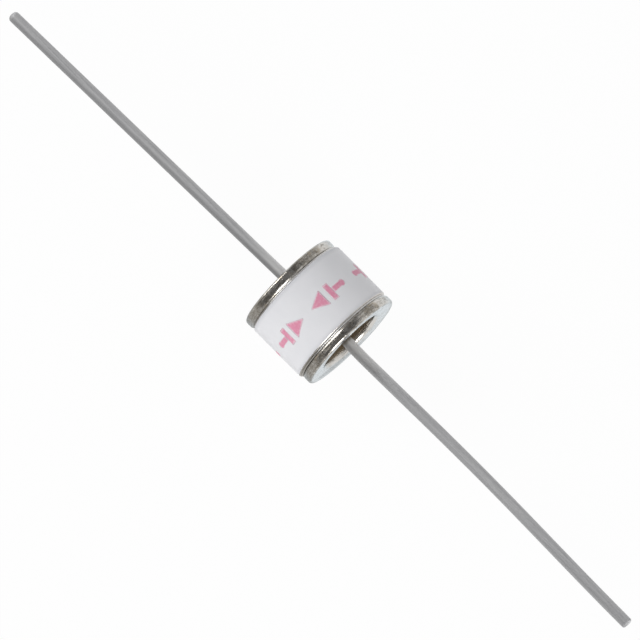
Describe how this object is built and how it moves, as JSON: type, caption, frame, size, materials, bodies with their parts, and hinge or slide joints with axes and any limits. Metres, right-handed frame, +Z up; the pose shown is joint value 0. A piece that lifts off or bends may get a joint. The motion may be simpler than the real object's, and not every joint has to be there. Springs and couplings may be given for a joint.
{
  "type": "gas discharge tube",
  "caption": "Axial-lead gas discharge tube: a short white ceramic cylinder sealed at each end by a flanged, plated metal cup, with a straight tinned wire welded in each cup.",
  "frame": {"origin": "middle of the ceramic tube, on its axis", "axes": "+X along the tube's axis from lead A to lead B, +Z up; lead A leans a little to -Y"},
  "size_m": [0.0592, 0.008, 0.008],
  "materials": {
    "ceramic": "satin",
    "nickel_plate": "satin",
    "braze": "satin",
    "tinned_wire": "satin",
    "activation_coat": "matte",
    "graphite": "matte",
    "print_ink": "matte"
  },
  "bodies": {
    "root": {"ceramic_tube": "ceramic", "electrode_a": "nickel_plate", "electrode_b": "nickel_plate", "braze_ring_a": "braze", "braze_ring_b": "braze", "activation_coat_a": "activation_coat", "activation_coat_b": "activation_coat", "ignition_strip_1": "graphite", "ignition_strip_2": "graphite", "ignition_strip_3": "graphite", "ignition_strip_4": "graphite", "lead_a": "tinned_wire", "lead_b": "tinned_wire"}
  },
  "joints": []
}
